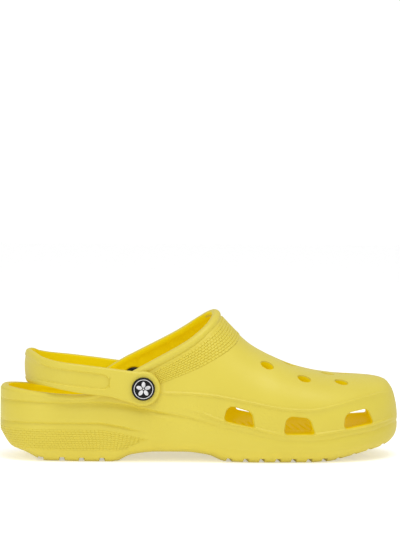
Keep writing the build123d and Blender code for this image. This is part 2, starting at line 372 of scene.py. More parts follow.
def inner_place(i, j):
    """A point of the foot space's wall. Columns stand closer together towards the heel and the toe."""
    crowded = -math.cos(math.pi * i / (INNER_COLUMNS - 1))
    even = 2 * i / (INNER_COLUMNS - 1) - 1
    x = INNER_END * (CROWDING * crowded + EVENNESS * even)
    section = Section(x, inside=True)
    angle = 2 * math.pi * j / INNER_ROWS - math.pi / 2
    across, up = math.cos(angle), math.sin(angle)
    power = section.crown if up > 0 else section.corner
    y = section.centre + section.half * math.copysign(abs(across) ** (2 / power), across)
    height = section.high - section.wide if up > 0 else section.wide - section.low
    return x, y, section.wide + height * math.copysign(abs(up) ** (2 / power), up)


combine(shell, wrapped_sheet(INNER_COLUMNS, INNER_ROWS, inner_place), "DIFFERENCE")

# The mouth: everything above this line on the walls is open. It runs higher on the inner side of the foot.
MOUTH = [
    (-160, 52.8), (-143, 52.4), (-130, 51), (-117, 49.5), (-104, 48.4), (-90, 48), (-79, 49.6),
    (-70, 54.2), (-62, 59.4), (-51, 65), (-31, 75.6), (-20.5, 81.2), (-10, 87.4), (0, 94.8), (6, 99.8),
    (14, 107.6),
]
MEDIAL_RISE = 4.6
RISE_START, RISE_LENGTH = -95, 45
MOUTH_WIDTH = 90
# How far under that line the wall stops, to make room for its lip.
LIP_DROP = [(-145, 2.5), (-80, 2.5), (-55, 3.1), (14, 3.4)]


def mouth_height(x, y):
    """Where the wall stops."""
    rise = MEDIAL_RISE * min(1.0, max(0.0, (x - RISE_START) / RISE_LENGTH))
    return flow(MOUTH, x)[0] + rise * (y / MOUTH_WIDTH + 0.5) - flow(LIP_DROP, x)[0]


mouth = bmesh.new()
grid = bmesh.ops.create_grid(mouth, x_segments=120, y_segments=24, size=0.5)
for vert in grid["verts"]:
    x, y = -165 + 180 * (vert.co.x + 0.5), vert.co.y * 140
    vert.co = (x, y, mouth_height(x, y))
lid = bmesh.ops.extrude_face_region(mouth, geom=mouth.faces[:], use_keep_orig=True)
for vert in (g for g in lid["geom"] if isinstance(g, bmesh.types.BMVert)):
    vert.co.z = 160
bmesh.ops.recalc_face_normals(mouth, faces=mouth.faces)
combine(shell, mouth, "DIFFERENCE")


# The lip: a soft roll round the mouth, slim on the heel rim and full on the collar.
ARCH = Vector((-60, 0, 0))
EDGE_STEPS = 720
HALVINGS = 34


def mouth_edge(angle, inside):
    """Where the mouth meets the wall's skin, in one direction from above the arch."""
    direction = Vector((math.cos(angle), math.sin(angle), 0))
    near, far = 0.0, 120.0
    limit = 145 * (INNER_REACH if inside else 1)
    for _ in range(HALVINGS):
        middle = (near + far) / 2
        spot = ARCH + direction * middle
        spot.z = mouth_height(spot.x, spot.y)
        within = abs(spot.x) < limit and Section(spot.x, inside).holds(spot.y, spot.z)
        near, far = (middle, far) if within else (near, middle)
    spot = ARCH + direction * near
    spot.z = mouth_height(spot.x, spot.y)
    return spot


def running_lengths(points):
    """How far along a line each of its points lies."""
    lengths = [0.0]
    for here, there in zip(points, points[1:]):
        lengths.append(lengths[-1] + (there - here).length)
    return lengths


def evenly(points, count):
    """Points spaced evenly along a closed line."""
    closed = points + points[:1]
    lengths = running_lengths(closed)
    spaced = []
    k = 0
    for step in range(count):
        target = lengths[-1] * step / count
        while lengths[k + 1] < target:
            k += 1
        share = (target - lengths[k]) / (lengths[k + 1] - lengths[k])
        spaced.append(closed[k].lerp(closed[k + 1], share))
    return spaced


LIP_STEPS = 220
LIP_ROUND = 20
# Over x: half the roll's width, half its height, and how far it lies outside the wall's middle.
LIP_ACROSS = [(-145, 2.75), (-90, 2.75), (-60, 3.0), (-30, 3.2), (-12, 3.2), (8, 2.95)]
LIP_UP = [(-145, 2.5), (-90, 2.5), (-55, 3.0), (10, 3.2)]
LIP_OUT = [(-145, -0.3), (-80, 0.1), (-45, 0.8), (-12, 1.0), (8, 0.4)]
LIP_INNER_POWER = 0.55  # below 1 the roll's upper inner quarter is squarer
turns = [2 * math.pi * k / EDGE_STEPS for k in range(EDGE_STEPS)]
outer_edge = [mouth_edge(angle, False) for angle in turns]
inner_edge = [mouth_edge(angle, True) for angle in turns]
middle_line = evenly([(a + b) / 2 for a, b in zip(outer_edge, inner_edge)], LIP_STEPS)
ribbon = []
for k in range(EDGE_STEPS):
    after = (k + 1) % EDGE_STEPS
    ribbon.append((k, after, EDGE_STEPS + after, EDGE_STEPS + k))
inner_tree = BVHTree.FromPolygons(inner_edge + [p + Vector((0, 0, 0.01)) for p in inner_edge], ribbon)
lip_frames = []
for k, spot in enumerate(middle_line):
    ahead = (middle_line[(k + 1) % LIP_STEPS] - middle_line[k - 1]).normalized()
    inwards = inner_tree.find_nearest(spot)[0] - spot
    outwards = -(inwards - ahead * inwards.dot(ahead)).normalized()
    up = ahead.cross(outwards)
    if up.z < 0:
        up = -up
    lip_frames.append((spot, outwards, up))


def lip_place(i, j):
    """A point of the lip's roll."""
    spot, outwards, up = lip_frames[i % LIP_STEPS]
    angle = 2 * math.pi * j / LIP_ROUND
    power = LIP_INNER_POWER if math.cos(angle) < 0 < math.sin(angle) else 1.0
    across, rise, shift = (flow(table, spot.x)[0] for table in (LIP_ACROSS, LIP_UP, LIP_OUT))
    across *= math.copysign(abs(math.cos(angle)) ** power, math.cos(angle))
    rise *= math.copysign(abs(math.sin(angle)) ** power, math.sin(angle))
    return spot + outwards * (shift + across) + up * rise


combine(shell, wrapped_sheet(LIP_STEPS + 1, LIP_ROUND, lip_place), "UNION")
cap_seat = SEAT_HALF - SEAT_WALL
combine(shell, crosswise_bars(SEAT_RADIUS, SEAT_HALF, SEAT_HALF + SEAT_CUT), "DIFFERENCE")
combine(shell, crosswise_bars(CAP_SEAT_RADIUS, cap_seat - CAP_SEAT_CUT, cap_seat), "DIFFERENCE")
combine(shell, crosswise_bars(HOLE_RADIUS, 30, 50), "DIFFERENCE")

# Side ports: rounded openings with a soft edge, three on each side.
PORTS = [
    [(11.4, 30.2), (14.9, 41.2), (31.2, 36.5), (33.4, 25.4)],
    [(53.9, 20.7), (56.2, 33.8), (72.2, 32.2), (76.4, 20.7)],
    [(97.3, 23.9), (98.8, 35.4), (115.4, 38.2), (120.4, 27.3)],
]
PORT_SHIFTS = [(19.5, -2.0), (15.5, 4.5), (9.5, -0.3)]
PORT_CORNERS = [3.6, 4.4, 3.0, 2.2]
PORT_END = 26.0  # each cut ends flat, this far from the middle plane
# Depth under the skin, and how far the opening spreads there.
PORT_STEPS = [(-3.0, 2.4), (-0.6, 1.3), (0.0, 0.7), (0.5, 0.28), (1.2, 0.0), (PORT_END, 0.0)]
ports = bmesh.new()
for side in (LATERAL, MEDIAL):
    for outline, shift in zip(PORTS, PORT_SHIFTS):
        if side == LATERAL:
            shift = (0.0, 0.0)
        one = bmesh.new()
        corners = [one.verts.new((x + shift[0], 0, z + shift[1])) for x, z in outline]
        one.faces.new(corners)
        for corner, offset in zip(corners, PORT_CORNERS):
            bmesh.ops.bevel(one, geom=[corner], offset=offset, segments=6, affect="VERTICES", profile=0.5)
        bmesh.ops.subdivide_edges(one, edges=[e for e in one.edges if e.calc_length() > 2.5], cuts=3)
        centre = sum((v.co for v in one.verts), Vector()) / len(one.verts)
        face = next(iter(one.faces))
        last_spread = 0.0
        for step, (depth, spread) in enumerate(PORT_STEPS):
            if step > 0:
                face = pushed(one, face, step > 1)
            for vert in face.verts:
                away = Vector((vert.co.x, 0, vert.co.z)) - centre
                spot = centre + away.normalized() * (away.length - last_spread + spread)
                y = Section(spot.x).edge(spot.z, side) - side * depth
                vert.co = (spot.x, side * PORT_END if depth == PORT_END else y, spot.z)
            last_spread = spread
        bmesh.ops.recalc_face_normals(one, faces=one.faces)
        data = bpy.data.meshes.new("port")
        one.to_mesh(data)
        ports.from_mesh(data)
        bpy.data.meshes.remove(data)
        one.free()
combine(shell, ports, "DIFFERENCE")

# Vents: round holes square to the vamp's skin, with a rolled-in edge.
VENTS = [
    (44.6, -33), (49, 3.5), (49, 36), (63.5, -10.5), (62.5, 19.5), (71, -35.5), (77, 4),
    (76.5, 38), (92, -10), (91, 20), (98.9, -30), (105.5, 4.5), (104, 33.5),
]
# Height over the skin, and radius there.
VENT_STEPS = [(2.0, 6.6), (0.5, 5.7), (0.0, 5.25), (-0.5, 4.95), (-1.2, 4.8), (-16.0, 4.8)]
ABOVE_ALL = 200
vents = bmesh.new()
for x, y in VENTS:
    spot, normal, _, _ = skin.ray_cast(Vector((x, y, ABOVE_ALL)), Vector((0, 0, -1)))
    turn = normal.to_track_quat("Z", "X").to_matrix().to_4x4()
    rim = bmesh.ops.create_circle(vents, segments=32, radius=VENT_STEPS[0][1], cap_ends=True)
    face = rim["verts"][0].link_faces[0]
    shaped = list(rim["verts"])
    bmesh.ops.translate(vents, vec=(0, 0, VENT_STEPS[0][0]), verts=rim["verts"])
    for (depth, radius), (last_depth, last_radius) in zip(VENT_STEPS[1:], VENT_STEPS):
        face = pushed(vents, face, last_depth != VENT_STEPS[0][0])
        verts = list(face.verts)
        bmesh.ops.translate(vents, vec=(0, 0, depth - last_depth), verts=verts)
        bmesh.ops.scale(vents, vec=(radius / last_radius, radius / last_radius, 1), verts=verts)
        shaped += verts
    bmesh.ops.transform(vents, matrix=Matrix.Translation(spot) @ turn, verts=shaped)
bmesh.ops.recalc_face_normals(vents, faces=vents.faces)
combine(shell, vents, "DIFFERENCE")

# The woven-look band under the collar's lip: a raised strip of little bricks, part of the same moulding.
BAND_COLUMNS = 132
BAND_ROWS = 8
BAND_WIDTH = [(-45, 9.0), (-30, 11.0), (-10, 14.0), (2, 16.5), (12, 17.5)]
BAND_START = 4.4
BAND_HEEL_END = -40
BAND_BASE = 0.3
BAND_RELIEF = 0.38
JOINT = 0.24
FADE_COLUMNS = 40
THINNEST = 0.08
ROOTED = 1.2
LEAST_BRICK = 0.5


def raised_bricks(lines, base, height, joint):
    """A slab of bricks in running bond on the skin. lines[i][j] are its corners, half a brick apart.

    The slab thins out to almost nothing at its two ends, and is rooted under the skin.
    """
    made = bmesh.new()
    columns, rows = len(lines), len(lines[0])
    grid = bmesh.ops.create_grid(made, x_segments=columns - 1, y_segments=rows - 1, size=0.5)
    places = {}
    for vert in grid["verts"]:
        i = round((vert.co.x + 0.5) * (columns - 1))
        j = round((vert.co.y + 0.5) * (rows - 1))
        places[vert] = (i, j)
    for vert, (i, j) in places.items():
        spot, normal, _, _ = skin.find_nearest(lines[i][j])
        fade = min(1.0, i / FADE_COLUMNS, (columns - 1 - i) / FADE_COLUMNS)
        vert.co = spot + normal * max(THINNEST, base * fade)
    joints = []
    for edge in made.edges:
        (i, j), (m, n) = (places[vert] for vert in edge.verts)
        if i == m and 0 < i < columns - 1 and (i + min(j, n)) % 2:
            joints.append(edge)
    under = bmesh.ops.extrude_face_region(made, geom=made.faces[:], use_keep_orig=True)
    for vert in (g for g in under["geom"] if isinstance(g, bmesh.types.BMVert)):
        spot, normal, _, _ = skin.find_nearest(vert.co)
        vert.co = spot - normal * ROOTED
    bmesh.ops.dissolve_edges(made, edges=joints, use_verts=False)
    bmesh.ops.recalc_face_normals(made, faces=made.faces)
    bricks = []
    for face in made.faces:
        if face.calc_area() > LEAST_BRICK and all(vert in places for vert in face.verts):
            bricks.append(face)
    bmesh.ops.inset_individual(made, faces=bricks, thickness=joint, depth=height, use_even_offset=True)
    return made


# The collar's stretch of the mouth's edge, which starts in front: its two halves are joined there.
LIP_COUNT = 520
collar = [(k, spot) for k, spot in enumerate(evenly(outer_edge, LIP_COUNT)) if spot.x > BAND_HEEL_END]
collar.sort(key=lambda entry: (entry[0] + LIP_COUNT // 2) % LIP_COUNT)
collar = [spot for _, spot in collar]
lengths = running_lengths(collar)
band_lines = []
for i in range(BAND_COLUMNS + 1):
    target = lengths[-1] * i / BAND_COLUMNS
    k = min(max(n for n in range(len(lengths)) if lengths[n] <= target), len(collar) - 2)
    share = (target - lengths[k]) / (lengths[k + 1] - lengths[k])
    spot = collar[k].lerp(collar[k + 1], share)
    ahead = (collar[k + 1] - collar[k]).normalized()
    line = []
    step = flow(BAND_WIDTH, spot.x)[0] / BAND_ROWS
    walk, normal, _, _ = skin.find_nearest(spot)
    away = ahead.cross(normal)
    away = away if away.z < 0 or away.x > 0.5 else -away
    walk = skin.find_nearest(walk + away * BAND_START)[0]
    for j in range(BAND_ROWS + 1):
        line.append(walk)
        normal = skin.find_nearest(walk)[1]
        direction = (away - normal * away.dot(normal)).normalized()
        walk = skin.find_nearest(walk + direction * step)[0]
    band_lines.append(line)
combine(shell, raised_bricks(band_lines, BAND_BASE, BAND_RELIEF, JOINT), "UNION")

# Rows of small dashes round the heel, below its groove.
HEEL_ROWS = 9
HEEL_DASH = 1.3
HEEL_LENGTH = 230
HEEL_RELIEF = 0.3
HEEL_ARM = -118.0  # behind this the rows follow the heel's round
ARM_SHARE = 0.3  # each side's share of the rows, and the round's
ROUND_SHARE = 0.4
LOWEST, ABOVE_SOLE_EDGE, BELOW_GROOVE = 8.5, 4.0, 4.2
HEEL_FRONT = [-58.0, -41.0]  # where the lowest and the highest row end


def heel_spot(share, row):
    """A point on the heel's skin: share runs from the outer side round the back to the inner side."""
    front = HEEL_FRONT[0] + (HEEL_FRONT[1] - HEEL_FRONT[0]) * row / HEEL_ROWS
    if ARM_SHARE <= share <= 1 - ARM_SHARE:
        angle = -math.pi / 2 - math.pi * (share - ARM_SHARE) / ROUND_SHARE
        start, direction = HEEL_ARM, Vector((math.cos(angle), math.sin(angle), 0))
    else:
        away = min(share, 1 - share) / ARM_SHARE
        start, direction = front + (HEEL_ARM - front) * away, Vector((0, -1 if share < 0.5 else 1, 0))
    low = max(LOWEST, flow(SECTIONS, start)[2] + ABOVE_SOLE_EDGE)
    z = low + (flow(HEEL_GROOVE, start)[0] - BELOW_GROOVE - low) * row / HEEL_ROWS
    return skin.ray_cast(Vector((start, 0, z)), direction)[0]


heel_columns = round(HEEL_LENGTH / HEEL_DASH)
heel_lines = []
for i in range(heel_columns + 1):
    heel_lines.append([heel_spot(i / heel_columns, j) for j in range(HEEL_ROWS + 1)])
combine(shell, raised_bricks(heel_lines, THINNEST, HEEL_RELIEF, JOINT), "UNION")

# Nubs on the footbed, that rub the foot: low domes in staggered rows under the heel and the ball.
NUB_RADIUS = 1.5
NUB_STEP = 6.2
NUB_ROW_SHARE = 0.87  # the rows' spacing over the spacing along them
NUB_MARGIN = 12
BARE_ARCH = (-28, 14)
nubs = bmesh.new()
for i in range(-19, 20):
    x = i * NUB_STEP * NUB_ROW_SHARE
    if BARE_ARCH[0] < x < BARE_ARCH[1]:
        continue
    section = Section(x, inside=True)
    for j in range(-8, 9):
        y = section.centre + (j + 0.5 * (i % 2)) * NUB_STEP
        if abs(y - section.centre) < section.half - NUB_MARGIN:
            place = Matrix.Translation((x, y, section.low - 0.35)) @ Matrix.Diagonal((1, 1, 0.6, 1))
            bmesh.ops.create_uvsphere(nubs, u_segments=8, v_segments=5, radius=NUB_RADIUS, matrix=place)
combine(shell, nubs, "UNION")


def socket(group, name, kind, default=None, out=False):
    """A socket on a shader group's interface."""
    made = group.interface.new_socket(name=name, in_out="OUTPUT" if out else "INPUT", socket_type=kind)
    if default is not None:
        made.default_value = default


def set_inputs(made, values):
    """Gives a node's inputs their values."""
    for name, value in values.items():
        made.inputs[name].default_value = value


def node(tree, kind, spot, values=None, **facts):
    """A node at a spot of the tree, with its settings and the values of its inputs."""
    made = tree.nodes.new(kind)
    made.location = spot
    for fact, setting in facts.items():
        setattr(made, fact, setting)
    set_inputs(made, values or {})
    return made


def link(tree, source, output, target, entry):
    """Joins one node's output to another's input."""
    tree.links.new(source.outputs[output], target.inputs[entry])


def span(from_min, from_max, to_min=0.0, to_max=1.0):
    """The inputs of a Map Range node."""
    return {"From Min": from_min, "From Max": from_max, "To Min": to_min, "To Max": to_max}


def moulded_foam_skin():
    """The foam's skin: a faint unevenness of colour, fine pores and a soft pebble from the mould."""
    group = bpy.data.node_groups.new("moulded foam skin", "ShaderNodeTree")
    socket(group, "Foam", "NodeSocketColor", (0.7, 0.6, 0.08, 1))
    socket(group, "Stipple", "NodeSocketFloat", 0.0)
    socket(group, "Color", "NodeSocketColor", out=True)
    socket(group, "Roughness", "NodeSocketFloat", out=True)
    socket(group, "Normal", "NodeSocketVector", out=True)
    enter = node(group, "NodeGroupInput", (-900, 0))
    leave = node(group, "NodeGroupOutput", (700, 0))
    place = node(group, "ShaderNodeTexCoord", (-900, -300))
    clouds = node(group, "ShaderNodeTexNoise", (-650, 200), {"Scale": 22.0, "Detail": 3.0})
    pores = node(group, "ShaderNodeTexNoise", (-650, -100), {"Scale": 750.0, "Detail": 2.0})
    dots = node(group, "ShaderNodeTexVoronoi", (-650, -400), {"Scale": 420.0, "Randomness": 0.55})
    for texture in (clouds, pores, dots):
        link(group, place, "Object", texture, "Vector")
    darker = node(group, "ShaderNodeMix", (-100, 250), data_type="RGBA", blend_type="MULTIPLY")
    darker.inputs["B"].default_value = (0.93, 0.9, 0.72, 1)
    link(group, enter, "Foam", darker, "A")
    share = node(group, "ShaderNodeMapRange", (-350, 250), span(0.35, 0.75, 0.0, 0.55))
    link(group, clouds, "Fac", share, "Value")
    link(group, share, "Result", darker, "Factor")
    link(group, darker, "Result", leave, "Color")
    rough = node(group, "ShaderNodeMapRange", (-100, 0), span(0.3, 0.7, 0.4, 0.56))
    link(group, pores, "Fac", rough, "Value")
    link(group, rough, "Result", leave, "Roughness")
    # The dots stand up as low round heads where the stipple is on.
    heads = node(group, "ShaderNodeMapRange", (-400, -400), span(0.5, 0.2), interpolation_type="SMOOTHSTEP")
    link(group, dots, "Distance", heads, "Value")
    raised = node(group, "ShaderNodeMath", (-150, -400), operation="MULTIPLY")
    link(group, heads, "Result", raised, 0)
    link(group, enter, "Stipple", raised, 1)
    fine = node(group, "ShaderNodeBump", (150, -150), {"Strength": 0.12, "Distance": 0.0004})
    link(group, pores, "Fac", fine, "Height")
    pebble = node(group, "ShaderNodeBump", (400, -250), {"Strength": 0.5, "Distance": 0.0002})
    link(group, raised, "Value", pebble, "Height")
    link(group, fine, "Normal", pebble, "Normal")
    link(group, pebble, "Normal", leave, "Normal")
    return group


FOAM_SKIN = moulded_foam_skin()


def new_material(name):
    """A material, its node tree and its surface shader."""
    made = bpy.data.materials.new(name)
    made.use_nodes = True
    return made, made.node_tree, made.node_tree.nodes["Principled BSDF"]


def foam_material(name, colour, glow=None):
    """Yellow foam with the moulded skin. The glow is painted light: an emission that stands for light which
    comes through the foam.
    """
    made, tree, surface = new_material(name)
    surface.inputs["Specular IOR Level"].default_value = 0.02 if glow else 0.5
    skin_node = node(tree, "ShaderNodeGroup", (-300, 0), node_tree=FOAM_SKIN)
    skin_node.inputs["Foam"].default_value = colour
    link(tree, skin_node, "Color", surface, "Base Color")
    for output in ("Roughness", "Normal"):
        link(tree, skin_node, output, surface, output)
    if glow:
        set_inputs(surface, {"Emission Color": glow, "Emission Strength": 1.0})
    return made


# The stippled field along the sides, in metres: start, full, fading and end, along the clog and upwards.
STIPPLED_FIELD = {"X": (-0.052, -0.03, 0.048, 0.062), "Z": (0.018, 0.024, 0.039, 0.045)}


def stippled_side(made):
    """Adds the stippled field, between the sole groove and the upper bead."""
    tree = made.node_tree
    place = node(tree, "ShaderNodeTexCoord", (-1100, -200))
    apart = node(tree, "ShaderNodeSeparateXYZ", (-900, -200))
    link(tree, place, "Object", apart, "Vector")
    total = None
    for axis, (start, full, fade, end) in STIPPLED_FIELD.items():
        for limits in (span(start, full), span(end, fade)):
            ramp = node(tree, "ShaderNodeMapRange", (-700, -200), limits, interpolation_type="SMOOTHSTEP")
            link(tree, apart, axis, ramp, "Value")
            mask = ramp.outputs["Result"]
            if total:
                both = node(tree, "ShaderNodeMath", (-500, -300), operation="MULTIPLY")
                tree.links.new(total, both.inputs[0])
                tree.links.new(mask, both.inputs[1])
                mask = both.outputs["Value"]
            total = mask
    target = next(n for n in tree.nodes if n.type == "GROUP")
    tree.links.new(total, target.inputs["Stipple"])


# The foot's heel and instep lie along the middle between these two.
ANKLE_BACK, ANKLE_FRONT = -95, -10
SQUARELY = 0.8
BARELY = 0.1


def faces_inwards(spot, normal, least=SQUARELY):
    """Whether a face looks at the foot."""
    nearest = min(max(spot.x, ANKLE_BACK), ANKLE_FRONT)
    towards = Vector((nearest - spot.x, -spot.y, 0)).normalized()
    return normal.dot(towards) > least


FOAM_YELLOW = (0.725, 0.605, 0.068, 1)
shell_foam = foam_material("shell foam", FOAM_YELLOW)
stippled_side(shell_foam)
# The inside copy of the foam is painted light: a more saturated yellow and an orange glow stand for light
# that comes through the foam into the foot space.
INSIDE_PAINTED_LIGHT_YELLOW = (0.66, 0.555, 0.006, 1)
INSIDE_PAINTED_GLOW = (0.225, 0.15, 0.0, 1)
inside_painted_light_foam = foam_material("shell foam inside painted light", INSIDE_PAINTED_LIGHT_YELLOW, INSIDE_PAINTED_GLOW)
# Faces that look into the foot space take the inside copy of the foam, with its painted light. Above this
# height a face that lies deeper than this under the skin may be an inner one.
ABOVE_SOLE = 15
UNDER_SKIN = 2.3
data = shell.data
data.shade_smooth()
data.set_sharp_from_angle(angle=math.radians(40))
data.materials.clear()
data.materials.append(shell_foam)
data.materials.append(inside_painted_light_foam)
for face in data.polygons:
    spot = face.center / MM
    if spot.z > ABOVE_SOLE and skin.find_nearest(spot)[3] > UNDER_SKIN:
        above_mouth = spot.z - mouth_height(spot.x, spot.y)
        least = SQUARELY if above_mouth > 0.5 else BARELY
        if above_mouth < -1.5 or faces_inwards(spot, face.normal, least):
            face.material_index = 1
for vert in data.vertices:
    vert.co.x = min(max(vert.co.x, cad_low[0]), cad_high[0])
    vert.co.y = min(max(vert.co.y, cad_low[1]), cad_high[1])
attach(shell, "shell")
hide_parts("clog_shell")

# The heel strap: a moulded foam U of rounded section, with a shallow panel sunk into its outer face. It
# ends in a round tab on each side, held to the shell by a rivet.
STRAP_INNER, STRAP_OUTER = 44.26, 48.26
STRAP_THICK = STRAP_OUTER - STRAP_INNER
STRAP_BEND, STRAP_BACK = -92.0, -128.4
TAB_RADIUS = 12.3
TAB_TOP, TAB_BOTTOM = math.radians(104), math.radians(112)
TAB_STEPS, ARM_STEPS, BEND_STEPS = 28, 48, 130
TOP_START, BOTTOM_START = -48.4, -50.1  # where the arm's edges leave the tab
STRAP_TOP = [
    (-131, 78.4), (-124, 77), (-118, 74.3), (-108, 72), (-90, 69.9), (-70, 67.4), (-58, 65.8),
    (TOP_START, 64.75),
]
STRAP_BOTTOM = [
    (-131, 53.6), (-118, 54), (-101, 51.6), (-86, 49.1), (-69, 46.9), (-58, 43.8), (BOTTOM_START, 41.4),
]
STRAP_EDGE = 1.85  # rounding of the outer edges
STRAP_INNER_EDGE = 1.7
STRAP_LEAN = 1.9  # how far the band's edges lean in behind the heel
PANEL_DEPTH = [(-128, 0.5), (-112, 1.15)]
PANEL_FRONT = -69.4
PANEL_ROUND = 4.6
TOP_BORDER = [(-131, 4.4), (-69, 4.9)]
BOTTOM_BORDER = [(-131, 3.2), (-100, 4.2), (-69, 5.0)]
PANEL_EDGE = [(0.35, 0.0), (0.1, 0.2), (-0.15, 0.8), (-0.4, 1.0)]  # past its outline, and share of its depth
PLAIN_ROWS = 10
CORNER_STEPS = 5

# Stations from the outer tab round the heel to the inner tab: on a tab the turns of its upper and lower
# edge, on an arm the share of its length, and behind the heel the angle round the bend.
arm = []
for k in range(TAB_STEPS + 1):
    arm.append(("tab", TAB_TOP * k / TAB_STEPS, TAB_BOTTOM * k / TAB_STEPS))
for k in range(1, ARM_STEPS + 1):
    arm.append(("arm", k / ARM_STEPS, 0))
bend = [("bend", math.pi * k / BEND_STEPS, 0) for k in range(1, BEND_STEPS)]
strap_stations = [(LATERAL, entry) for entry in arm] + [(0, entry) for entry in bend]
strap_stations += [(MEDIAL, entry) for entry in arm[::-1]]


def strap_rows(panel):
    """(distance from the inner face, height share from bottom 0 to top 1, inset) round the section."""
    rows = []
    inner, outer = (STRAP_INNER_EDGE, STRAP_INNER_EDGE), (STRAP_THICK - STRAP_EDGE, STRAP_EDGE)
    for first, (middle, radius), level in ((270, inner, 0), (180, inner, 1), (90, outer, 1), (0, outer, 0)):
        if first == 0:
            rows += [(STRAP_THICK - sunk, share, 0) for sunk, share in panel]
        for k in range(CORNER_STEPS + 1):
            angle = math.radians(first - 90 * k / CORNER_STEPS)
            rows.append((middle + radius * math.cos(angle), level, radius * (1 - abs(math.sin(angle)))))
    return rows


def panel_rows(x, top, bottom):
    """(depth, height share) rows of the sunk panel on the outer face."""
    high = top - flow(TOP_BORDER, x)[0]
    low = bottom + flow(BOTTOM_BORDER, x)[0]
    middle, half = (high + low) / 2, (high - low) / 2
    past = x - (PANEL_FRONT - PANEL_ROUND)
    half *= 1.0 if past < 0 else max(0.0, 1 - (past / PANEL_ROUND) ** 2) ** 0.5
    depth = flow(PANEL_DEPTH, x)[0] * min(1.0, half / 0.8)
    rows = []
    for offset, amount in PANEL_EDGE:
        rows.append((depth * amount, middle + max(half + offset, 0.05 * (1 - offset))))
    rows += [(depth, middle + half * 0.4), (depth, middle - half * 0.4)]
    for offset, amount in reversed(PANEL_EDGE):
        rows.append((depth * amount, middle - max(half + offset, 0.05 * (1 - offset))))
    return [(sunk, (z - bottom) / (top - bottom)) for sunk, z in rows]


FLAT_PANEL = [(0.0, 1 - (k + 1) / (PLAIN_ROWS + 1)) for k in range(PLAIN_ROWS)]
strap_rings = []
for side, (kind, first, second) in strap_stations:
    ring = []
    if kind == "tab":
        for across, level, inset in strap_rows(FLAT_PANEL):
            upper = Vector((math.cos(first), math.sin(first)))
            upper *= TAB_RADIUS - (inset if level == 1 else STRAP_EDGE)
            lower = Vector((math.cos(second), -math.sin(second)))
            lower *= TAB_RADIUS - (inset if level == 0 else STRAP_EDGE)
            spot = upper if level == 1 else lower if level == 0 else lower.lerp(upper, level)
            ring.append((PIVOT_X + spot.x, side * (STRAP_INNER + across), PIVOT_Z + spot.y))
        strap_rings.append(ring)
        continue
    if kind == "arm":
        top_x = TOP_START + (STRAP_BEND - TOP_START) * first
        bottom_x = BOTTOM_START + (STRAP_BEND - BOTTOM_START) * first
        x = (top_x + bottom_x) / 2
    else:
        x = top_x = bottom_x = STRAP_BEND - (STRAP_BEND - STRAP_BACK - STRAP_THICK / 2) * math.sin(first)
    top, bottom = flow(STRAP_TOP, top_x)[0], flow(STRAP_BOTTOM, bottom_x)[0]
    panel = panel_rows(x, top, bottom) if x < PANEL_FRONT else FLAT_PANEL
    for across, level, inset in strap_rows(panel):
        if level == 1:
            z = top - inset
        elif level == 0:
            z = bottom + inset
        elif panel is FLAT_PANEL:
            z = bottom + STRAP_EDGE + (top - bottom - 2 * STRAP_EDGE) * level
        else:
            z = bottom + (top - bottom) * level
        if kind == "arm":
            ring.append((bottom_x + (top_x - bottom_x) * level, side * (STRAP_INNER + across), z))
        else:
            above = 2 * (z - bottom) / (top - bottom) - 1
            lean = STRAP_LEAN * above**2 * (1 if above > 0 else across / STRAP_THICK)
            back_reach = STRAP_BEND - STRAP_BACK - STRAP_THICK + across - lean
            y = -math.cos(first) * (STRAP_INNER + across)
            ring.append((STRAP_BEND - back_reach * math.sin(first), y, z))
    strap_rings.append(ring)

strap = wrapped_sheet(len(strap_rings), len(strap_rings[0]), lambda i, j: strap_rings[i][j])
strap = solid(strap, "heel_strap_foam")
combine(strap, crosswise_bars(HOLE_RADIUS, 42, 52), "DIFFERENCE")
strap.data.shade_smooth()
strap.data.set_sharp_from_angle(angle=math.radians(40))
strap.data.materials.clear()
strap.data.materials.append(foam_material("strap foam", FOAM_YELLOW))
strap.data.materials.append(foam_material("strap foam inside painted light", INSIDE_PAINTED_LIGHT_YELLOW, INSIDE_PAINTED_GLOW))
# Faces that look at the foot take the inside copy of the foam, with its painted light.
for face in strap.data.polygons:
    if faces_inwards(face.center / MM, face.normal):
        face.material_index = 1
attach(strap, "strap")
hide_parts("heel_strap")

# The rivets: black moulded plastic in two halves. The outer head carries a printed badge and the shank that
# the strap turns on, and the inner cap snaps over the shank's end inside the shell.
HEAD_INNER = 48.32  # from the middle plane to the head's underside
# Profiles as (radius, height over the piece's own seat).
HEAD_PROFILE = [
    (0, -11.2), (3.5, -11.2), (3.9, -10.8), (3.9, 0), (7.9, 0), (8.2, 0.3), (8.2, 1.4), (8.12, 1.9),
    (7.9, 2.3), (7.6, 2.5), (7.35, 2.5), (7.15, 2.3), (7.1, 1.7), (0, 1.7),
]
BADGE_PROFILE = [(0, 1.7), (7.08, 1.7), (7.08, 2.15), (6.95, 2.28), (0, 2.28)]
RING_PROFILE = [(6.34, 2.2), (6.38, 2.36), (6.8, 2.36), (6.84, 2.2)]
CAP_INNER = SEAT_HALF - SEAT_WALL - 0.06
CAP_PROFILE = [
    (0, -1.7), (3.92, -1.7), (3.92, 0), (7.8, 0), (8, -0.2), (8, -1.4), (7.75, -2.0), (7.2, -2.4),
    (6.2, -2.6), (0, -2.6),
]
# The badge's print: a flower of petals and a dot in the middle, on the disc's face.
PETALS = 5
PETAL_REACH = 3.15
PETAL_SHAPE = (2.1, 1.35, 1, 1)
PRINT_HEIGHT = 2.33


def turned(made, profile, closed=False):
    """Spins a (radius, height) profile about the z axis."""
    verts = [made.verts.new((radius, 0, height)) for radius, height in profile]
    edges = [made.edges.new(pair) for pair in zip(verts, verts[1:])]
    if closed:
        edges.append(made.edges.new((verts[-1], verts[0])))
    bmesh.ops.spin(
        made, geom=verts + edges, cent=(0, 0, 0), axis=(0, 0, 1), angle=2 * math.pi, steps=64, use_merge=True
    )
    bmesh.ops.remove_doubles(made, verts=made.verts, dist=1e-4)


